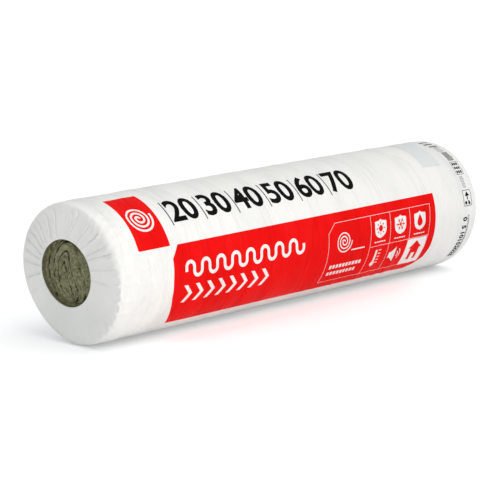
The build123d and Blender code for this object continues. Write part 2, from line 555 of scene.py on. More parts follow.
def fibre_shapes():
    """A few bent fibres of different curl, each modelled once."""
    shapes = bpy.data.collections.new("fibre_shapes")
    bpy.context.scene.collection.children.link(shapes)
    for k, curl in enumerate((20, 45, 75, 110, 150)):
        nothing_selected()
        bpy.ops.mesh.primitive_cylinder_add(vertices=3, radius=0.00010, depth=0.014, rotation=(0, pi / 2, 0))
        fibre = bpy.context.object
        fibre.name = f"fibre_{k}"
        bpy.ops.object.transform_apply(location=True, rotation=True, scale=True)
        for cut in range(-2, 3):
            edit_all()
            bpy.ops.mesh.bisect(plane_co=(cut * 0.0024, 0, 0), plane_no=(1, 0, 0))
        edit_done()
        with_modifier(fibre, "SIMPLE_DEFORM", deform_method="BEND", angle=radians(curl), deform_axis="Z")
        with_modifier(fibre, "SIMPLE_DEFORM", deform_method="BEND", angle=radians(curl / 5), deform_axis="Y")
        for collection in list(fibre.users_collection):
            collection.objects.unlink(fibre)
        shapes.objects.link(fibre)
    return shapes


def rebuilt_in_order(piece, kept):
    """Puts the mesh's points and faces in an order that is the same each run, as extruding and spinning
    don't, so that what is scattered over it stays the same. Each point keeps its value of this name."""
    old = piece.data
    given = old.attributes[kept].data
    order = sorted(range(len(old.vertices)), key=lambda k: tuple(old.vertices[k].co))
    rank = {k: place for place, k in enumerate(order)}
    faces = []
    for face in old.polygons:
        corners = [rank[k] for k in face.vertices]
        first = corners.index(min(corners))
        faces.append(corners[first:] + corners[:first])
    mesh = bpy.data.meshes.new(piece.name)
    mesh.from_pydata([old.vertices[k].co for k in order], [], sorted(faces))
    values = mesh.attributes.new(kept, "FLOAT", "POINT")
    for place, k in enumerate(order):
        values.data[place].value = given[k].value
    piece.data = mesh
    bpy.data.meshes.remove(old)


def scattered(shapes, per_area):
    """Geometry nodes that lay copies of the fibres over a surface, each turned its own way."""
    tree = bpy.data.node_groups.new("Loose fibres", "GeometryNodeTree")
    for way in ("INPUT", "OUTPUT"):
        tree.interface.new_socket(name="Geometry", in_out=way, socket_type="NodeSocketGeometry")
    wiring = Wiring(tree)
    given, result = wiring.node("NodeGroupInput"), wiring.node("NodeGroupOutput")
    points = wiring.node("GeometryNodeDistributePointsOnFaces", Seed=5)
    # The crevice attribute is painted shade; fewer fibres are laid where it is strong
    deep = wiring.node("GeometryNodeInputNamedAttribute", Name="crevice")
    deep.data_type = "FLOAT"
    bare = wiring.span(deep.outputs["Attribute"], 0.15, 0.6, per_area, 0.05 * per_area, smooth=False)
    chosen = wiring.node("GeometryNodeCollectionInfo", Collection=shapes, Separate_Children=True)
    copies = wiring.node("GeometryNodeInstanceOnPoints", Pick_Instance=True)
    turned = wiring.node("GeometryNodeRotateInstances")
    spin = wiring.node("FunctionNodeRandomValue")
    spin.data_type = "FLOAT_VECTOR"
    spin.inputs["Min"].default_value = (-0.22, -0.22, 0)
    spin.inputs["Max"].default_value = (0.22, 0.22, 2 * pi)
    size = wiring.node("FunctionNodeRandomValue")
    size.data_type = "FLOAT"
    size.inputs[2].default_value, size.inputs[3].default_value = 0.3, 0.9
    real = wiring.node("GeometryNodeRealizeInstances")
    for source, target in ((bare, points.inputs["Density"]),
                           (given.outputs[0], points.inputs["Mesh"]),
                           (points.outputs["Points"], copies.inputs["Points"]),
                           (points.outputs["Rotation"], copies.inputs["Rotation"]),
                           (chosen.outputs["Instances"], copies.inputs["Instance"]),
                           (size.outputs[1], copies.inputs["Scale"]),
                           (copies.outputs["Instances"], turned.inputs["Instances"]),
                           (spin.outputs[0], turned.inputs["Rotation"]),
                           (turned.outputs["Instances"], real.inputs["Geometry"]),
                           (real.outputs["Geometry"], result.inputs[0])):
        wiring.link(source, target)
    return tree


# The print

class Pen:
    """Draws a flat line of even width on the unrolled film, by extruding and spinning its end."""

    def __init__(self, x, y, heading, width):
        self.x, self.y, self.heading = x, y, radians(heading)
        self.line = new_point()
        across = Vector((-sin(self.heading), cos(self.heading), 0)) * width
        bpy.ops.transform.translate(value=Vector((x, y, 0)) - across / 2)
        extrude_by(across)
        bpy.ops.mesh.select_all(action="SELECT")

    def ahead(self, length):
        step = Vector((cos(self.heading), sin(self.heading), 0)) * length
        extrude_by(step)
        self.x, self.y = self.x + step.x, self.y + step.y
        return self

    def turn(self, angle, radius):
        """Turns left by a positive angle and right by a negative one."""
        way = 1 if angle > 0 else -1
        cx = self.x - way * radius * sin(self.heading)
        cy = self.y + way * radius * cos(self.heading)
        steps = max(int(abs(angle) / 15), 2)
        bpy.ops.mesh.spin(steps=steps, angle=-radians(angle), center=(cx, cy, 0), axis=(0, 0, 1))
        self.heading += radians(angle)
        self.x = cx + way * radius * sin(self.heading)
        self.y = cy - way * radius * cos(self.heading)
        return self

    def up(self):
        edit_done()
        return self.line


def block(x, y, width, height, corner=0.0, tilt=0.0):
    """A flat plate about its middle, with rounded corners if asked."""
    nothing_selected()
    bpy.ops.mesh.primitive_plane_add(size=1, location=(x, y, 0), rotation=(0, 0, radians(tilt)))
    plate = bpy.context.object
    plate.scale = (width, height, 1)
    placed(plate)
    if corner:
        edit_all()
        bpy.ops.mesh.bevel(offset=corner, segments=5, affect="VERTICES")
        edit_done()
    return plate


def outline(corners):
    """A flat shape drawn round its corners."""
    shape = point_drawn_through([(x, y, 0) for x, y in corners])
    bpy.ops.mesh.edge_face_add()
    edit_done()
    return shape


def outline_line(corners, line):
    """A thin line drawn round a shape's corners."""
    shape = outline(corners)
    only(shape)
    edit_all()
    bpy.ops.mesh.inset(thickness=line)
    bpy.ops.mesh.delete(type="FACE")
    edit_done()
    return shape


def row(shape, count, step_x, step_y=0.0):
    """Copies a flat shape along a row."""
    with_modifier(shape, "ARRAY", count=count, use_relative_offset=False, use_constant_offset=True,
                  constant_offset_displace=(step_x, step_y, 0))
    return shape


def disc(x, y, radius, points=32, pull=0.0):
    """A flat disc, its top pulled up into a drop if asked."""
    nothing_selected()
    bpy.ops.mesh.primitive_circle_add(vertices=points, radius=radius, fill_type="NGON", location=(x, y, 0))
    plate = bpy.context.object
    if pull:
        top = max(plate.data.vertices, key=lambda v: v.co.y).index
        edit_some(plate, "vertices", [top])
        bpy.ops.transform.translate(value=(0, pull * radius, 0), use_proportional_edit=True,
                                    proportional_edit_falloff="SHARP", proportional_size=1.3 * radius)
        edit_done()
    placed(plate)
    return plate


def digits(body, x, y, height, bold=0.0, tilt=0.0, align="CENTER"):
    """A number about its middle, or from its left."""
    nothing_selected()
    bpy.ops.object.text_add(location=(x, y, 0), rotation=(0, 0, radians(tilt)))
    text = bpy.context.object
    text.data.body = body
    text.data.size = height / 0.72
    text.data.offset = bold
    text.data.align_x = align
    text.data.align_y = "CENTER"
    text.data.resolution_u = 4
    bpy.ops.object.convert(target="MESH")
    placed(text)
    return text


def frame_line(x, y, width, height, line, corner):
    """A thin rounded frame about its middle."""
    pen = Pen(x - width / 2 + corner, y - height / 2, 0, line)
    for length in (width, height, width, height):
        pen.ahead(length - 2 * corner).turn(90, corner)
    return pen.up()


def coil(x, y, turns, gap, line, tail):
    """A line wound up from its middle, as half turns about two centres, with a straight tail."""
    pen = Pen(x, y, 90, line)
    for k in range(2 * turns):
        pen.turn(180, gap * (k + 1) / 2)
    if tail:
        pen.ahead(tail)
    return pen.up()


def loops(x, y, count, gap, height, line):
    """The looping line that stands for insulation on a building drawing."""
    pen = Pen(x, y, 90, line)
    straight = height - gap
    for k in range(count):
        pen.ahead(straight).turn(-180 if k % 2 == 0 else 180, gap / 2)
    pen.ahead(straight)
    return pen.up()


def chevron(x, y, size, line):
    """One arrowhead that points along the roll."""
    nothing_selected()
    half = block(x, y + size / 4, line, size / 2)
    only(half)
    edit_some(half, "vertices", [v.index for v in half.data.vertices if v.co.y > y + size / 4])
    bpy.ops.transform.translate(value=(-0.42 * size, 0, 0))
    edit_done()
    bpy.ops.object.duplicate()
    other = bpy.context.object
    bpy.ops.transform.mirror(constraint_axis=(False, True, False), center_override=(x, y, 0))
    return joined("chevron", [half, other])


def joined(name, shapes):
    """Flat shapes as one piece."""
    nothing_selected()
    for shape in shapes:
        shape.select_set(True)
    bpy.context.view_layer.objects.active = shapes[0]
    if len(shapes) > 1:
        bpy.ops.object.join()
    piece = bpy.context.object
    piece.name = name
    return piece


def cut_across(piece, axis, places):
    """Cuts a flat piece at those of the places along an axis, 0 or 1, that it reaches over."""
    along = [v.co[axis] for v in piece.data.vertices]
    low, high = min(along), max(along)
    across = tuple(float(k == axis) for k in range(3))
    for place in places:
        if low < place < high:
            edit_all()
            bpy.ops.mesh.bisect(plane_co=tuple(place * c for c in across), plane_no=across)
    edit_done()


def laid_on_film(piece, film, lift, thick):
    """Gives flat print its thickness, cuts it at the film's own mesh lines and bends it onto the film.
    x runs along the roll from the near end, and y runs up the film from the line that faces the viewer."""
    only(piece)
    edit_all()
    bpy.ops.mesh.remove_doubles(threshold=0.00001)
    edit_done()
    side = FILM_END - film.corner
    step = 2 * pi * FILM_RADIUS / film.columns
    cut_across(piece, 0, [-side + 2 * side * k / film.rings - PRINT_START for k in range(film.rings + 1)])
    cut_across(piece, 1, [k * step for k in range(-film.columns // 2, film.columns // 2)])
    tree = BVHTree.FromObject(bpy.data.objects["film_wrap"], bpy.context.evaluated_depsgraph_get())
    for vertex in piece.data.vertices:
        x, angle = vertex.co.x + PRINT_START, vertex.co.y / FILM_RADIUS
        outward = Vector((0, -cos(angle), sin(angle)))
        start = Vector((x, 0, AXIS)) + outward * (FILM_RADIUS + 0.02)
        hit = tree.ray_cast(start, -outward)[0]
        if hit is None:
            raise RuntimeError(f"{piece.name} runs off the film at {x:.3f}")
        vertex.co = hit + outward * lift
    only(piece)
    edit_all()
    bpy.ops.mesh.normals_make_consistent(inside=False)
    edit_done()
    turned_in = [f.index for f in piece.data.polygons
                 if f.normal.dot(Vector((0, f.center.y, f.center.z - AXIS))) < 0]
    if turned_in:
        edit_some(piece, "polygons", turned_in)
        bpy.ops.mesh.flip_normals()
        edit_done()
    with_modifier(piece, "SOLIDIFY", thickness=thick, offset=-1.0)
    smooth(piece, 35)


# Materials

class Wiring:
    """The nodes of a material, a world or a node group, and the links between them."""

    def __init__(self, tree):
        self.tree, self.nodes, self.links = tree, tree.nodes, tree.links

    def node(self, kind, **inputs):
        """A new node with some of its inputs set."""
        node = self.nodes.new(kind)
        for key, value in inputs.items():
            node.inputs[key.replace("_", " ")].default_value = value
        return node

    def link(self, source, target):
        self.links.new(source, target)

    def place(self):
        """The piece's own coordinates."""
        return self.node("ShaderNodeTexCoord").outputs["Object"]

    def noise(self, place, scale, stretch=(1, 1, 1), detail=3.0, roughness=0.55):
        """A noise pattern on the piece's own coordinates."""
        mapping = self.node("ShaderNodeMapping", Scale=stretch)
        pattern = self.node("ShaderNodeTexNoise", Scale=scale, Detail=detail, Roughness=roughness)
        self.link(place, mapping.inputs["Vector"])
        self.link(mapping.outputs["Vector"], pattern.inputs["Vector"])
        return pattern.outputs["Fac"]

    def math(self, operation, first, second=0):
        """One sum, of two sockets or of a socket and a number."""
        node = self.node("ShaderNodeMath")
        node.operation = operation
        for socket, value in zip(node.inputs, (first, second)):
            if isinstance(value, (int, float)):
                socket.default_value = value
            else:
                self.link(value, socket)
        return node.outputs[0]

    def times(self, first, second):
        return self.math("MULTIPLY", first, second)

    def span(self, value, start, end, at_start, at_end, smooth=True):
        """Brings a value from one span to another, and holds it at the ends."""
        node = self.node("ShaderNodeMapRange")
        if smooth:
            node.interpolation_type = "SMOOTHSTEP"
        for socket, number in zip(node.inputs[1:5], (start, end, at_start, at_end)):
            socket.default_value = number
        self.link(value, node.inputs["Value"])
        return node.outputs["Result"]

    def ridge(self, pattern, width):
        """Thin lines, 1 along the line, where a noise pattern passes its middle."""
        off = self.math("ABSOLUTE", self.math("SUBTRACT", pattern, 0.5))
        return self.span(off, 0.0, width, 1.0, 0.0)

    def ramp(self, factor, stops):
        """Colours or greys spread over a factor."""
        node = self.node("ShaderNodeValToRGB")
        while len(node.color_ramp.elements) < len(stops):
            node.color_ramp.elements.new(0.5)
        for element, (position, colour) in zip(node.color_ramp.elements, stops):
            element.position = position
            element.color = (*colour, 1)
        self.link(factor, node.inputs["Fac"])
        return node.outputs["Color"]

    def grey_ramp(self, factor, stops):
        return self.ramp(factor, [(position, (grey,) * 3) for position, grey in stops])

    def mixed(self, factor, colour, other):
        """A colour mixed towards another by a factor."""
        mix = self.node("ShaderNodeMix")
        mix.data_type = "RGBA"
        mix.inputs[7].default_value = (*other, 1)
        self.link(factor, mix.inputs[0])
        self.link(colour, mix.inputs[6])
        return mix.outputs[2]

    def attribute(self, name):
        """What the mesh keeps under this name."""
        node = self.node("ShaderNodeAttribute")
        node.attribute_name = name
        return node.outputs["Fac"]

    def wrinkles(self, hoops, crumple):
        """The film's wrinkles, with how much of each sort."""
        node = self.node("ShaderNodeGroup")
        node.node_tree = film_wrinkles_group()
        node.inputs["Hoops"].default_value = hoops
        node.inputs["Crumple"].default_value = crumple
        return node.outputs

    def bump(self, shader, height, distance, strength=1.0):
        """Feeds a height to the shader's normal."""
        node = self.node("ShaderNodeBump", Strength=strength, Distance=distance)
        self.link(height, node.inputs["Height"])
        self.link(node.outputs["Normal"], shader.inputs["Normal"])


def film_wrinkles_group():
    """Fine wrinkles of the film, which the ink and the label on it share, and the lines where shade is painted along
    its folds.
    """
    if "Film wrinkles" in bpy.data.node_groups:
        return bpy.data.node_groups["Film wrinkles"]
    group = bpy.data.node_groups.new("Film wrinkles", "ShaderNodeTree")
    for name, way in (("Hoops", "INPUT"), ("Crumple", "INPUT"), ("Height", "OUTPUT"), ("Cloud", "OUTPUT"),
                      ("Lines", "OUTPUT")):
        socket = group.interface.new_socket(name=name, in_out=way, socket_type="NodeSocketFloat")
        if way == "INPUT":
            socket.default_value = 1.0
    wiring = Wiring(group)
    times = wiring.times
    inputs, outputs = wiring.node("NodeGroupInput"), wiring.node("NodeGroupOutput")
    place = wiring.place()
    along = wiring.node("ShaderNodeSeparateXYZ")
    wiring.link(place, along.inputs[0])
    near = wiring.span(along.outputs["X"], -0.52, -0.26, 1.0, 0.25)
    from_middle = wiring.math("ABSOLUTE", along.outputs["X"])
    on_side = wiring.span(from_middle, FILM_END - 0.035, FILM_END - 0.012, 1.0, 0.0)

    hoops = wiring.noise(place, 1.0, (38, 3.2, 3.2), 4.0, 0.6)
    fine_hoops = wiring.noise(place, 1.0, (120, 9, 9), 3.0, 0.5)
    crumple = wiring.noise(place, 34.0, (1.3, 0.8, 1.1), 4.0, 0.6)
    cloud = wiring.noise(place, 6.0, (2.6, 1, 1), 4.0, 0.6)
    folds = wiring.ridge(wiring.noise(place, 1.0, (15, 1.9, 1.9), 2.0, 0.5), 0.030)
    crinkles = wiring.ridge(wiring.noise(place, 15.0, (1.5, 0.8, 1.0), 3.0, 0.55), 0.055)

    both = wiring.math("ADD", hoops, times(fine_hoops, 0.3))
    both = wiring.math("SUBTRACT", both, times(folds, 0.16))
    stretched = times(both, inputs.outputs["Hoops"])
    creased = times(wiring.math("SUBTRACT", crumple, times(crinkles, 0.18)), near)
    height = wiring.math("ADD", stretched, times(creased, inputs.outputs["Crumple"]))
    smoother = wiring.math("ADD", times(on_side, 0.8), 0.2)
    # Lines is where shade is painted: along the folds, and along the crinkles near the near end, fading out before
    # the ends
    lines = wiring.math("MAXIMUM", folds, times(crinkles, times(near, 0.3)))
    wiring.link(times(height, smoother), outputs.inputs["Height"])
    wiring.link(cloud, outputs.inputs["Cloud"])
    wiring.link(times(lines, on_side), outputs.inputs["Lines"])
    return group


def new_material(name, roughness, specular):
    """A material with the wiring for its patterns and its Principled shader."""
    material = bpy.data.materials.new(name)
    material.use_nodes = True
    shader = material.node_tree.nodes["Principled BSDF"]
    shader.inputs["Roughness"].default_value = roughness
    shader.inputs["Specular IOR Level"].default_value = specular
    return material, Wiring(material.node_tree), shader


def scaled(colour, share):
    return tuple(c * share for c in colour)


def film_material(film):
    """White film with soft wrinkles, and with shade painted along thin fold lines, along the pleats and along the
    lap's edge.
    """
    material, wiring, shader = new_material("white_film", 0.42, 0.3)
    wrinkles = wiring.wrinkles(1.0, 0.9)
    white = tuple(film.white)
    dull = tuple(c * s for c, s in zip(white, (0.90, 0.915, 0.92)))
    base = wiring.ramp(wrinkles["Cloud"], ((0.44, white), (0.68, dull)))
    # Painted shade along the thin fold lines
    base = wiring.mixed(wiring.times(wrinkles["Lines"], 0.15), base, (0.64, 0.64, 0.63))
    # Painted shade along the pleats and the lap's edge, as kept in pleat_shade
    base = wiring.mixed(wiring.times(wiring.attribute("pleat_shade"), 0.46), base, (0.52, 0.52, 0.50))
    wiring.link(base, shader.inputs["Base Color"])
    rough = wiring.grey_ramp(wrinkles["Cloud"], ((0.3, 0.36), (0.7, 0.5)))
    wiring.link(rough, shader.inputs["Roughness"])
    wiring.bump(shader, wrinkles["Height"], 0.0034, 0.9)
    return material


def wool_material(wool):
    """Olive mineral wool, streaked and specked, with shade painted between its turns, in its pits and at the rim of
    the opening.
    """
    material, wiring, shader = new_material("mineral_wool", 0.95, 0.15)
    place = wiring.place()
    streaks = wiring.noise(place, 1.0, (60, 460, 300), 4.0, 0.7)
    patches = wiring.noise(place, 110.0, (1, 1, 1), 4.0, 0.65)
    fine = wiring.noise(place, 900.0, (1, 1, 1), 3.0, 0.6)
    tone = wiring.math("ADD", wiring.times(streaks, 0.5), wiring.times(patches, 0.5))
    base = wiring.ramp(tone, ((0.36, scaled(wool.mid, 0.6)), (0.5, tuple(wool.mid)), (0.64, tuple(wool.light))))
    # Painted shade, as kept in the crevice attribute
    base = wiring.mixed(wiring.attribute("crevice"), base, tuple(wool.dark))
    wiring.link(base, shader.inputs["Base Color"])
    wiring.bump(shader, wiring.math("ADD", streaks, wiring.times(fine, 0.6)), 0.0014)
    return material


def fibre_material(wool):
    """Single wool fibres, from straw to dark olive."""
    material, wiring, shader = new_material("wool_fibre", 0.7, 0.3)
    place = wiring.place()
    tone = wiring.noise(place, 260.0, (1, 1, 1), 2.0)
    base = wiring.ramp(tone, ((0.38, scaled(wool.mid, 0.5)), (0.5, tuple(wool.mid)), (0.62, tuple(wool.light))))
    wiring.link(base, shader.inputs["Base Color"])
    wiring.bump(shader, wiring.noise(place, 2600.0, (1, 1, 1), 1.0), 0.0002, 0.5)
    return material


def printed_material(name, colour, roughness, worn=0.03):
    """Ink on the film: it follows the film's wrinkles, is a little uneven, and has shade painted along the film's
    fold lines.
    """
    if name in bpy.data.materials:
        return bpy.data.materials[name]
    material, wiring, shader = new_material(name, roughness, 0.02)
    wrinkles = wiring.wrinkles(1.0, 0.6)
    colour = tuple(colour)
    pale = tuple(min(c * (1 + worn) + 0.1 * worn, 0.95) for c in colour)
    base = wiring.ramp(wrinkles["Cloud"], ((0.38, pale), (0.52, colour), (0.72, scaled(colour, 1 - 3 * worn))))
    # Painted shade along the film's fold lines
    base = wiring.mixed(wiring.times(wrinkles["Lines"], 0.22), base, scaled(colour, 0.6))
    wiring.link(base, shader.inputs["Base Color"])
    rough = wiring.grey_ramp(wrinkles["Cloud"], ((0.3, roughness - 0.06), (0.7, roughness + 0.08)))
    wiring.link(rough, shader.inputs["Roughness"])
    wiring.bump(shader, wrinkles["Height"], 0.0034, 0.9)
    return material


def paper_material(prints):
    """Pale label paper with a faint grain, that takes the film's creases."""
    material, wiring, shader = new_material("label_paper", 0.6, 0.2)
    wrinkles = wiring.wrinkles(0.7, 0.2)
    grain = wiring.noise(wiring.place(), 900.0, (1, 0.6, 0.6), 3.0)
    base = wiring.ramp(grain, ((0.35, scaled(prints.paper, 0.965)), (0.6, tuple(prints.paper))))
    wiring.link(base, shader.inputs["Base Color"])
    wiring.link(wiring.grey_ramp(grain, ((0.3, 0.52), (0.7, 0.68))), shader.inputs["Roughness"])
    wiring.bump(shader, wiring.math("ADD", wrinkles["Height"], wiring.times(grain, 0.04)), 0.0024, 0.8)
    return material


# Operators

class RollWoolMat(bpy.types.Operator):
    """Models the wound mat with its turns, and the loose fibres on its ends"""
    bl_idname = "insulation_roll.wool_mat"
    bl_label = "Wool mat"

    def execute(self, context):
        wool = context.scene.roll_wool
        mat = turned_chain("wool_mat", mat_chain(wool), 320)
        shaped_wool(mat, wool, context.scene.roll_film)
        smooth(mat, 80)
        mat.data.materials.append(wool_material(wool))
        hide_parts("mat_roll")
        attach(mat, "root")

        only(mat)
        bpy.ops.object.duplicate()
        fibres = context.object
        fibres.name = "wool_fibres"
        hidden = [v.index for v in fibres.data.vertices
                  if hypot(v.co.y, v.co.z - AXIS) > WOOL_SEEN or abs(v.co.x) < MAT_END - 0.03]
        edit_some(fibres, "vertices", hidden)
        bpy.ops.mesh.select_mode(type="VERT")
        bpy.ops.mesh.delete(type="VERT")
        edit_done()
        rebuilt_in_order(fibres, "crevice")
        shapes = fibre_shapes()
        bpy.ops.object.select_all(action="DESELECT")
        with_modifier(fibres, "NODES", node_group=scattered(shapes, wool.fibres))
        for shape in list(shapes.objects):
            bpy.data.objects.remove(shape)
        bpy.data.collections.remove(shapes)
        smooth(fibres, 70)
        fibres.data.materials.clear()
        fibres.data.materials.append(fibre_material(wool))
        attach(fibres, "root")
        return {"FINISHED"}


class RollWrapFilm(bpy.types.Operator):
    """Models the film wrap with its creases, pleats and puckers"""
    bl_idname = "insulation_roll.wrap_film"
    bl_label = "Film wrap"

    def execute(self, context):
        film = context.scene.roll_film
        piece = turned_chain("film_wrap", film_chain(film), film.columns)
        shaped_film(piece, film)
        with_modifier(piece, "SOLIDIFY", thickness=film.wall, offset=-1.0)
        smooth(piece, 55)
        piece.data.materials.append(film_material(film))
        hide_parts("wrap_film")
        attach(piece, "root")
        return {"FINISHED"}


def printed(context, name, shapes, colour, layer, roughness=0.4):
    """Joins flat shapes, lays them on the film and inks them."""
    prints, film = context.scene.roll_prints, context.scene.roll_film
    piece = joined(name, shapes)
    laid_on_film(piece, film, 0.00006 + layer * prints.ink, prints.ink + 0.00003)
    piece.data.materials.append(printed_material(f"{colour}_ink", getattr(prints, colour), roughness))
    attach(piece, "root")
    return piece


class RollRedPrint(bpy.types.Operator):
    """Prints the red panel and the red block beside it"""
    bl_idname = "insulation_roll.red_print"
    bl_label = "Red print"

    def execute(self, context):
        panel = outline([(0.188, 0.061), (1.032, 0.063), (1.032, -0.070), (1.024, -0.102), (1.004, -0.124),
                         (0.983, -0.135), (0.190, -0.135), (0.178, -0.092), (0.170, -0.055), (0.167, -0.015),
                         (0.167, 0.033)])
        printed(context, "print_red_panel", [panel], "red", 1)
        printed(context, "print_red_block", [block(0.122, 0.136, 0.090, 0.150, corner=0.003)], "red", 1)
        return {"FINISHED"}


def shield(x, y, width, height):
    """A plain badge with a point below."""
    w, h = width / 2, height / 2
    right = [(0, 0.94), (0.24, 0.80), (1, 0.70), (1, -0.20), (0.86, -0.56), (0.52, -0.84), (0, -1)]
    left = [(-a, b) for a, b in right[-2:0:-1]]
    return outline([(x + a * w, y + b * h) for a, b in right + left])


def star_arms(x, y, reach, line, arms, inner=0.0):
    """Straight arms that stand out all round."""
    middle = (reach + inner) / 2
    return [block(x + middle * cos(2 * pi * k / arms), y + middle * sin(2 * pi * k / arms), reach - inner, line,
                  tilt=360 * k / arms) for k in range(arms)]


class RollWhiteMarks(bpy.types.Operator):
    """Prints the white marks on the red"""
    bl_idname = "insulation_roll.white_marks"
    bl_label = "White marks"

    def execute(self, context):
        printed(context, "print_batt_line", [loops(0.204, -0.0005, 16, 0.0228, 0.032, 0.0078)], "white", 2)
        printed(context, "print_arrows", [row(chevron(0.222, -0.051, 0.041, 0.0105), 8, 0.0338)], "white", 2)
        printed(context, "print_block_coil", [coil(0.121, 0.135, 3, 0.0106, 0.0050, 0.009)], "white", 2)

        line = 0.0009
        frame = [outline_line([(0.676, 0.039), (1.013, 0.040), (1.009, -0.036), (1.004, -0.112), (0.655, -0.112),
                               (0.652, 0.016)], line)]
        frame += [block(0.797, -0.036, line, 0.150), block(0.867, -0.036, line, 0.150),
                  block(0.938, 0.002, line, 0.076), block(0.904, -0.036, 0.214, line)]
        for x in (0.832, 0.903, 0.974):
            frame.append(shield(x, 0.0055, 0.041, 0.047))
            frame.append(row(block(x - 0.016, -0.0265, 0.006, 0.0028), 5, 0.008))
        for y, count in ((-0.068, 10), (-0.087, 9)):
            frame.append(row(block(0.674, y, 0.0075, 0.0095), count, 0.0111))
        frame.append(block(0.971, -0.0745, 0.070, 0.073))
        frame.append(coil(0.708, -0.008, 3, 0.0082, 0.0030, 0))
        frame.append(Pen(0.708 + 0.0246, -0.0315, 0, 0.0030).ahead(0.046).up())
        frame += [disc(0.826, -0.085, 0.0072), block(0.826, -0.066, 0.0068, 0.040, corner=0.0032)]
        frame += [row(block(0.839, -0.083, 0.008, 0.0022), 5, 0, 0.0085)]
        frame.append(outline([(0.877, -0.078), (0.885, -0.078), (0.899, -0.091), (0.899, -0.049), (0.885, -0.062),
                              (0.877, -0.062)]))
        for k, radius in enumerate((0.009, 0.017)):
            frame.append(Pen(0.901 + radius * 0.64, -0.070 - radius * 0.77, 40, 0.0028).turn(100, radius).up())
        printed(context, "print_panel_signs", frame, "white", 2)

        signs = [disc(0.832, 0.0055, 0.0078)] + star_arms(0.832, 0.0055, 0.0155, 0.0026, 8, inner=0.0100)
        signs += star_arms(0.903, 0.0055, 0.0150, 0.0024, 6)
        signs += [block(0.903 + 0.0100 * cos(radians(60 * k)), 0.0055 + 0.0100 * sin(radians(60 * k)), 0.0020, 0.0080,
                        tilt=60 * k) for k in range(6)]
        signs.append(disc(0.974, 0.0010, 0.0095, pull=1.1))
        signs.append(outline([(0.971, -0.044), (0.948, -0.064), (0.955, -0.064), (0.955, -0.098), (0.965, -0.098),
                              (0.965, -0.078), (0.977, -0.078), (0.977, -0.098), (0.987, -0.098), (0.987, -0.064),
                              (0.994, -0.064)]))
        printed(context, "print_badge_signs", signs, "red", 3)
        return {"FINISHED"}


class RollScalePrint(bpy.types.Operator):
    """Prints the black scale with its numbers, and the small marks round the far end"""
    bl_idname = "insulation_roll.scale_print"
    bl_label = "Black print"

    def execute(self, context):
        step = context.scene.roll_prints.scale_step
        marks = []
        for k in range(2, 8):
            marks.append(digits(str(10 * k), k * step + 0.0045, 0.137, 0.060, bold=0.0021, align="LEFT"))
            marks.append(block(k * step, 0.1365, 0.0026, 0.066))
        printed(context, "print_scale", marks, "black", 1)

        small = []
        for y, width, count in ((0.230, 0.0042, 5), (0.214, 0.0050, 4)):
            small.append(row(block(1.1390, y, width, 0.0075), count, width + 0.0024))
        small.append(row(block(1.1420, 0.1995, 0.0026, 0.0075), 7, 0.0042))
        for x in (1.1460, 1.1505, 1.1550, 1.1595, 1.1640):
            small.append(row(block(x, 0.172, 0.0016, 0.0024), 6, 0, 0.0040))
        small.append(row(block(1.1590, 0.138, 0.0225, 0.0011), 15, 0, 0.0021))
        small.append(frame_line(1.1582, 0.1135, 0.027, 0.037, 0.0011, 0.002))
        small += [row(block(1.1510, y, 0.0052, 0.0068), 3, 0.0072) for y in (0.102, 0.1135, 0.125)]
        for x in (1.1495, 1.1540, 1.1585):
            small.append(row(block(x, 0.062, 0.0017, 0.0030), 7, 0, 0.0044))
        small.append(frame_line(1.1562, 0.035, 0.030, 0.038, 0.0013, 0.002))
        small.append(outline([(1.1480, 0.040), (1.1560, 0.051), (1.1640, 0.040)]))
        small += [block(1.1560, 0.0355, 0.0035, 0.009), disc(1.1495, 0.0235, 0.0042, 16)]
        small.append(outline([(1.1580, 0.019), (1.1660, 0.019), (1.1660, 0.022), (1.1605, 0.029), (1.1580, 0.029)]))
        printed(context, "print_end_marks", small, "black", 1)

        round_scale = [digits(str(5 * k), 1.1450, -0.016 - 0.0205 * k, 0.0148, bold=0.0008, tilt=-90)
                       for k in range(6)]
        round_scale.append(row(block(1.1572, -0.008, 0.0048, 0.0014), 30, 0, -0.0041))
        round_scale.append(block(1.1602, -0.0675, 0.0011, 0.122))
        printed(context, "print_round_scale", round_scale, "black", 1)
        return {"FINISHED"}


class RollBlankLabel(bpy.types.Operator):
    """Sticks the blank paper label on the film"""
    bl_idname = "insulation_roll.blank_label"
    bl_label = "Blank label"

    def execute(self, context):
        prints, film = context.scene.roll_prints, context.scene.roll_film
        label = block(1.081, radians(71) * FILM_RADIUS, 0.062, 0.125, corner=0.0015, tilt=-4)
        label.name = "paper_label"
        laid_on_film(label, film, 0.00035, 0.00025)
        label.data.materials.append(paper_material(prints))
        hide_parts("blank_label")
        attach(label, "root")
        return {"FINISHED"}


def shining(direction):
    """The turn of a lamp that shines this way."""
    return direction.to_track_quat("-Z", "Y").to_euler()


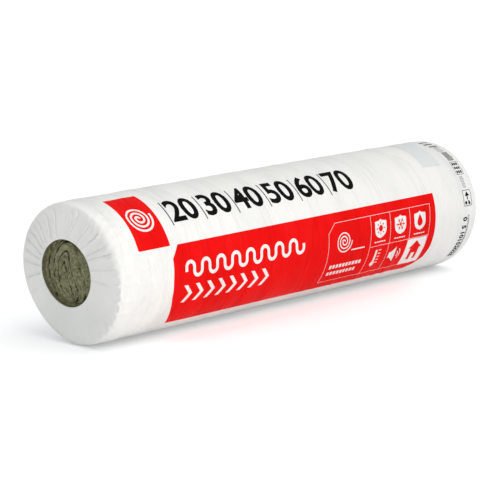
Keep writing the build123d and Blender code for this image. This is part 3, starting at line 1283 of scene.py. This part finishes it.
class RollStage(bpy.types.Operator):
    """Lays the floor and sets the lights and the camera"""
    bl_idname = "insulation_roll.stage"
    bl_label = "Floor, lights and camera"

    def execute(self, context):
        stage = context.scene.roll_stage
        nothing_selected()
        bpy.ops.mesh.primitive_plane_add(size=60, location=(0, 0, CAD_BOX[0][2]))
        floor = context.object
        floor.name = "studio_floor"
        material, wiring, shader = new_material("studio_floor", 0.9, 0.0)
        tone = wiring.noise(wiring.place(), 0.6, (1, 1, 1), 1.0)
        low = tuple(c - 0.004 for c in stage.floor)
        wiring.link(wiring.ramp(tone, ((0.3, low), (0.7, tuple(stage.floor)))), shader.inputs["Base Color"])
        rays = wiring.node("ShaderNodeLightPath").outputs
        seen = wiring.math("MAXIMUM", rays["Is Camera Ray"], rays["Is Glossy Ray"])
        seen = wiring.math("MAXIMUM", seen, rays["Is Transmission Ray"])
        wiring.link(wiring.times(seen, stage.floor_lift), shader.inputs["Emission Strength"])
        shader.inputs["Emission Color"].default_value = (1, 1, 1, 1)
        floor.data.materials.append(material)

        world = bpy.data.worlds.new("studio")
        context.scene.world = world
        world.use_nodes = True
        wiring = Wiring(world.node_tree)
        sky = wiring.nodes["Background"]
        sky.inputs["Color"].default_value = (0.965, 0.985, 1.0, 1)
        sky.inputs["Strength"].default_value = stage.sky
        plain = wiring.node("ShaderNodeBackground", Color=(1, 1, 1, 1), Strength=1.0)
        rays = wiring.node("ShaderNodeLightPath").outputs
        mix = wiring.node("ShaderNodeMixShader")
        for source, target in ((wiring.math("MAXIMUM", rays["Is Camera Ray"], rays["Is Transmission Ray"]),
                                mix.inputs[0]),
                               (sky.outputs[0], mix.inputs[1]),
                               (plain.outputs[0], mix.inputs[2]),
                               (mix.outputs[0], wiring.nodes["World Output"].inputs["Surface"])):
            wiring.link(source, target)

        bpy.ops.object.light_add(type="SUN", location=(0.5, -2.5, 3.0))
        key = context.object
        key.name = "key_light"
        key.data.energy = stage.key * pi
        key.data.angle = radians(60)
        key.data.color = (1.0, 0.98, 0.95)
        key.rotation_euler = shining(Vector((-0.15, 0.42, -0.90)))

        for name, place, aim, watts, colour in (
                ("near_fill", (-0.85, -1.45, 0.16), -0.30, stage.fill, (1.0, 0.98, 0.94)),
                ("far_fill", (1.00, -1.60, 0.16), 0.35, stage.far_fill, (0.88, 0.95, 1.0))):
            bpy.ops.object.light_add(type="AREA", location=place)
            fill = context.object
            fill.name = name
            fill.data.size = 0.7
            fill.visible_camera = False
            fill.data.energy = watts
            fill.data.color = colour
            fill.rotation_euler = shining(Vector((aim, 0, 0.5 * AXIS)) - fill.location)

        a, e = stage.azimuth, stage.elevation
        back = Vector((sin(a) * cos(e), -cos(a) * cos(e), sin(e)))
        right = Vector((cos(a), sin(a), 0))
        up = back.cross(right)
        camera = bpy.data.objects.new("photo_camera", bpy.data.cameras.new("photo_camera"))
        context.collection.objects.link(camera)
        place = Vector((0, 0, AXIS)) + back * stage.distance - (0.20 * right + 0.2145 * up) * FILM_RADIUS
        camera.matrix_world = Matrix.Translation(place) @ Matrix((right, up, back)).transposed().to_4x4()
        camera.data.lens = stage.lens
        camera.data.sensor_width = 36
        camera.data.clip_end = 200
        context.scene.camera = camera
        context.scene.view_settings.view_transform = "Standard"
        return {"FINISHED"}


class RollPanel(bpy.types.Panel):
    """The roll's pieces and their sizes"""
    bl_idname = "VIEW3D_PT_insulation_roll"
    bl_label = "Insulation roll"
    bl_space_type = "VIEW_3D"
    bl_region_type = "UI"
    bl_category = "Insulation roll"

    def draw(self, context):
        for owner, operators in ((context.scene.roll_film, (RollWrapFilm,)),
                                 (context.scene.roll_wool, (RollWoolMat,)),
                                 (context.scene.roll_prints, PRINT_OPERATORS),
                                 (context.scene.roll_stage, (RollStage,))):
            box = self.layout.box()
            for key in type(owner).__annotations__:
                box.prop(owner, key)
            for operator in operators:
                box.operator(operator.bl_idname)


PRINT_OPERATORS = (RollRedPrint, RollWhiteMarks, RollScalePrint, RollBlankLabel)
SETTINGS = (("roll_film", RollFilmSettings), ("roll_wool", RollWoolSettings), ("roll_prints", RollPrintSettings),
            ("roll_stage", RollStageSettings))
CLASSES = (*(settings for _, settings in SETTINGS), RollWrapFilm, RollWoolMat, *PRINT_OPERATORS, RollStage,
           RollPanel)


def register():
    for cls in CLASSES:
        bpy.utils.register_class(cls)
    for name, settings in SETTINGS:
        setattr(bpy.types.Scene, name, PointerProperty(type=settings))


def unregister():
    for name, _ in SETTINGS:
        delattr(bpy.types.Scene, name)
    for cls in reversed(CLASSES):
        bpy.utils.unregister_class(cls)


def main():
    register()
    bpy.ops.insulation_roll.stage()
    bpy.ops.insulation_roll.wrap_film()
    bpy.ops.insulation_roll.wool_mat()
    bpy.ops.insulation_roll.red_print()
    bpy.ops.insulation_roll.white_marks()
    bpy.ops.insulation_roll.scale_print()
    bpy.ops.insulation_roll.blank_label()


if __name__ == "__main__":
    main()
